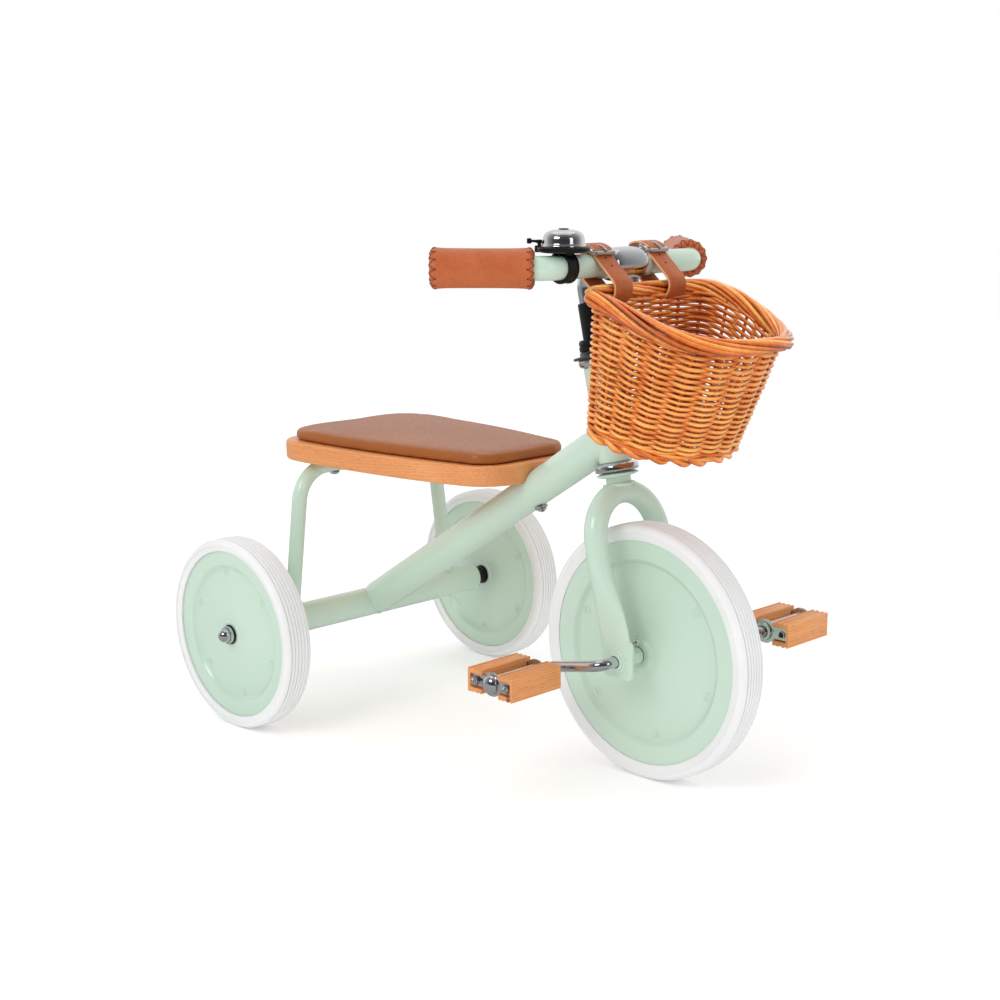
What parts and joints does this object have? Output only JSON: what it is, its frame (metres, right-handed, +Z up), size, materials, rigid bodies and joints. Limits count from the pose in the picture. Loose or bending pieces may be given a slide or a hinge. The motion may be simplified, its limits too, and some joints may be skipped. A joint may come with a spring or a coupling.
{
  "type": "child's pedal tricycle",
  "caption": "Child's pedal tricycle: steel frame, disc wheels, padded wooden seat, front-wheel crank with wooden pedals, swept handlebar, bell and wicker basket.",
  "frame": {"origin": "on the floor, under the middle of the tricycle's length and width", "axes": "+X forward, +Y to the rider's left, +Z up; steering straight ahead"},
  "size_m": [0.658, 0.422, 0.5327],
  "materials": {
    "mint_paint": "satin mint powder coat",
    "chrome": "polished",
    "bright_steel": "bright zinc or nickel plate",
    "black_plastic": "black nylon",
    "white_rubber": "white solid rubber, fine circumferential ribs",
    "beech": "clear satin lacquered beech",
    "pad_leatherette": "brown fine-grain leatherette",
    "tan_leather": "tan pebbled leatherette, cross-laced at the grip ends",
    "wicker": "varnished split willow weave"
  },
  "bodies": {
    "frame": {"rear_beam": "mint_paint", "down_tube": "mint_paint", "head_tube": "mint_paint", "seat_hoop": "mint_paint", "rear_axle": "bright_steel", "axle_plug_right": "black_plastic", "axle_plug_left": "black_plastic", "axle_washer_right": "black_plastic", "axle_washer_left": "black_plastic", "axle_nut_right": "chrome", "axle_nut_left": "chrome", "seat_board": "beech", "seat_pad": "pad_leatherette", "seat_bolt_right": "chrome", "seat_bolt_left": "chrome", "seat_bolt_front": "chrome", "lower_headset_cup": "chrome", "upper_headset_cup": "chrome"},
    "steering": {"fork": "mint_paint", "fork_bracket_right": "mint_paint", "fork_bracket_left": "mint_paint", "crown_race": "mint_paint", "dust_washer": "bright_steel", "lock_nut": "black_plastic", "quill_stem": "chrome", "stem_sleeve": "black_plastic", "stem_clamp_bolt": "bright_steel", "handlebar": "mint_paint", "grip_right": "tan_leather", "grip_left": "tan_leather", "bell_base": "black_plastic", "bell_dome": "chrome", "bell_screw": "black_plastic", "basket": "wicker", "strap_right": "tan_leather", "strap_left": "tan_leather", "buckle_right": "bright_steel", "buckle_left": "bright_steel"},
    "bell_lever": {"bell_lever": "black_plastic"},
    "front_wheel": {"front_tyre": "white_rubber", "front_disc_right": "mint_paint", "front_disc_left": "mint_paint", "front_hub_sleeve": "bright_steel", "crank": "chrome"},
    "rear_right_wheel": {"rear_right_tyre": "white_rubber", "rear_right_disc_outer": "mint_paint", "rear_right_disc_inner": "mint_paint", "rear_right_hub_bush": "black_plastic"},
    "rear_left_wheel": {"rear_left_tyre": "white_rubber", "rear_left_disc_outer": "mint_paint", "rear_left_disc_inner": "mint_paint", "rear_left_hub_bush": "black_plastic"},
    "pedal_right": {"pedal_right_block_front": "beech", "pedal_right_block_rear": "beech", "pedal_right_cage": "bright_steel"},
    "pedal_left": {"pedal_left_block_front": "beech", "pedal_left_block_rear": "beech", "pedal_left_cage": "bright_steel"}
  },
  "joints": [
    {"name": "steering", "type": "hinge", "parent": "frame", "child": "steering", "pos_m": [0.144, 0, 0.2976], "axis": [-0.225, 0, 0.9744], "range_deg": [-45, 45]},
    {"name": "front_wheel_spin", "type": "hinge", "parent": "steering", "child": "front_wheel", "pos_m": [0.19, 0, 0.127], "axis": [0, 1, 0], "continuous": true},
    {"name": "pedal_right_spin", "type": "hinge", "parent": "front_wheel", "child": "pedal_right", "pos_m": [0.11692, -0.115, 0.11013], "axis": [0, 1, 0], "continuous": true},
    {"name": "pedal_left_spin", "type": "hinge", "parent": "front_wheel", "child": "pedal_left", "pos_m": [0.26308, 0.115, 0.14387], "axis": [0, 1, 0], "continuous": true},
    {"name": "rear_right_spin", "type": "hinge", "parent": "frame", "child": "rear_right_wheel", "pos_m": [-0.227, -0.183, 0.102], "axis": [0, 1, 0], "continuous": true},
    {"name": "rear_left_spin", "type": "hinge", "parent": "frame", "child": "rear_left_wheel", "pos_m": [-0.227, 0.183, 0.102], "axis": [0, 1, 0], "continuous": true},
    {"name": "bell_lever_press", "type": "hinge", "parent": "steering", "child": "bell_lever", "pos_m": [0.1285, -0.091, 0.517], "axis": [0, 0, 1], "range_deg": [0, 30], "stiffness_Nm_per_rad": 0.02}
  ]
}
